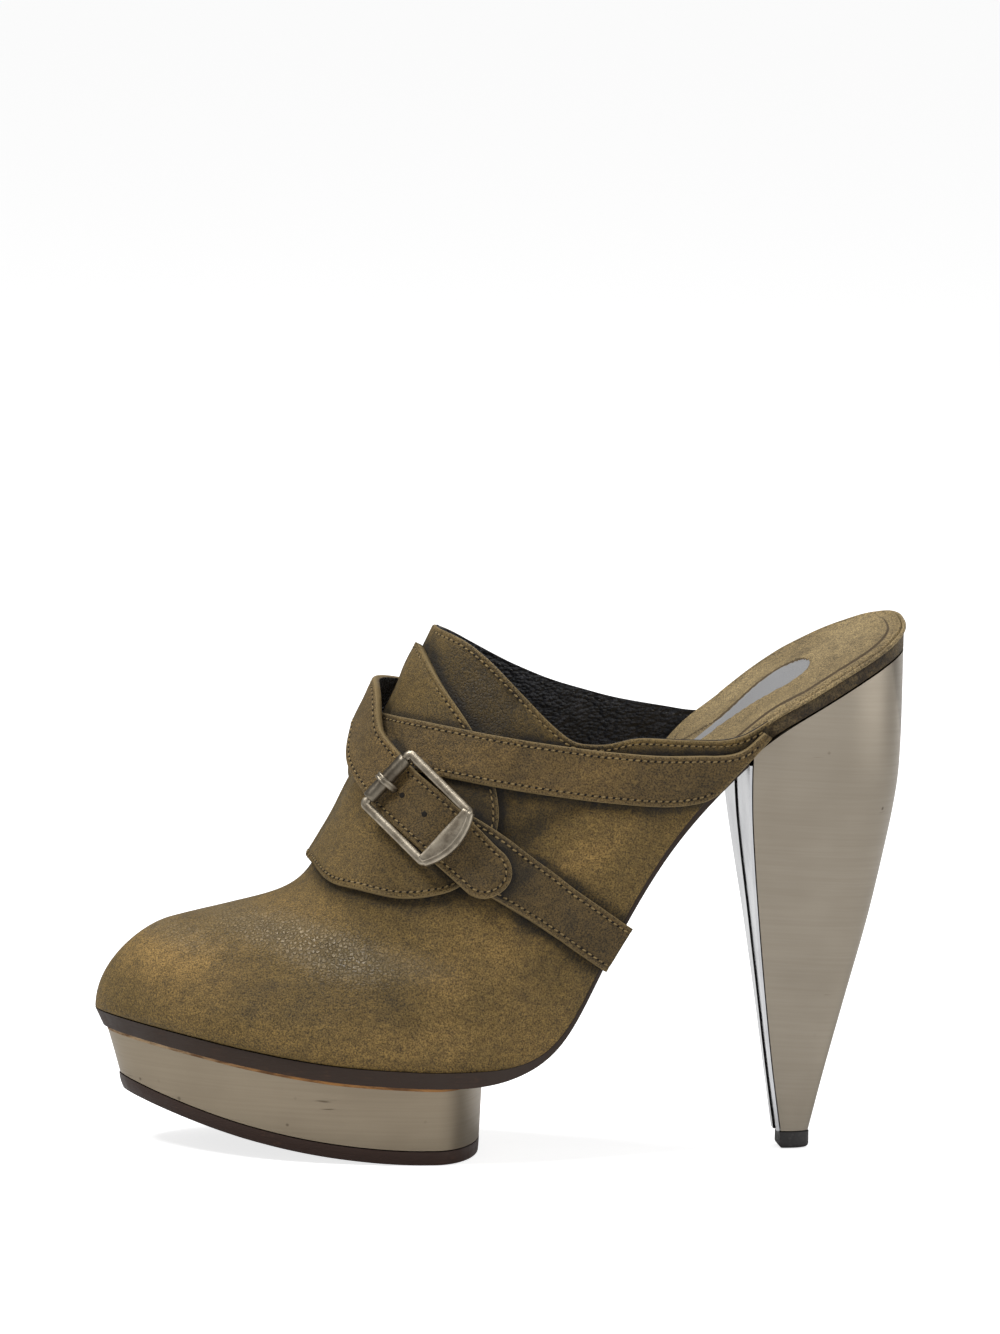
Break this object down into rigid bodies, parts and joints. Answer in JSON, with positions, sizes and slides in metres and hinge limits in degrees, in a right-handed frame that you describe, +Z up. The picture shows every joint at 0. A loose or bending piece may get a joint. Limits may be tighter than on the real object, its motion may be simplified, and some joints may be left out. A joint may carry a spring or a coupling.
{
  "type": "platform mule",
  "caption": "Left platform mule in waxed olive leather: closed toe, instep flap, crossed buckled straps, brushed metal platform and a tall horn-shaped heel.",
  "frame": {"origin": "on the floor under the middle of the shoe's box", "axes": "+X from toe to heel, +Y to the inner side of the foot, +Z up from the floor"},
  "size_m": [0.2106, 0.0836, 0.1432],
  "materials": {
    "outsole_leather": "matt brown",
    "platform_metal": "brushed gunmetal cladding",
    "welt_leather": "satin dark brown",
    "footbed_leather": "matt olive",
    "upper_leather": "waxed olive nubuck, black lining",
    "flap_leather": "waxed olive nubuck",
    "strap_leather": "waxed olive nubuck",
    "buckle_metal": "antique pewter",
    "heel_metal": "brushed gunmetal cladding",
    "breast_metal": "polished",
    "tip_rubber": "matt black"
  },
  "bodies": {
    "root": {"outsole": "outsole_leather", "platform": "platform_metal", "welt_sole": "welt_leather", "insole": "footbed_leather", "upper": "upper_leather", "kiltie": "flap_leather", "strap_rear": "strap_leather", "strap_front": "strap_leather", "strap_anchor": "strap_leather", "buckle_frame": "buckle_metal", "buckle_roller": "buckle_metal", "buckle_prong": "buckle_metal", "heel": "heel_metal", "heel_breast": "breast_metal", "heel_tip": "tip_rubber"}
  },
  "joints": []
}
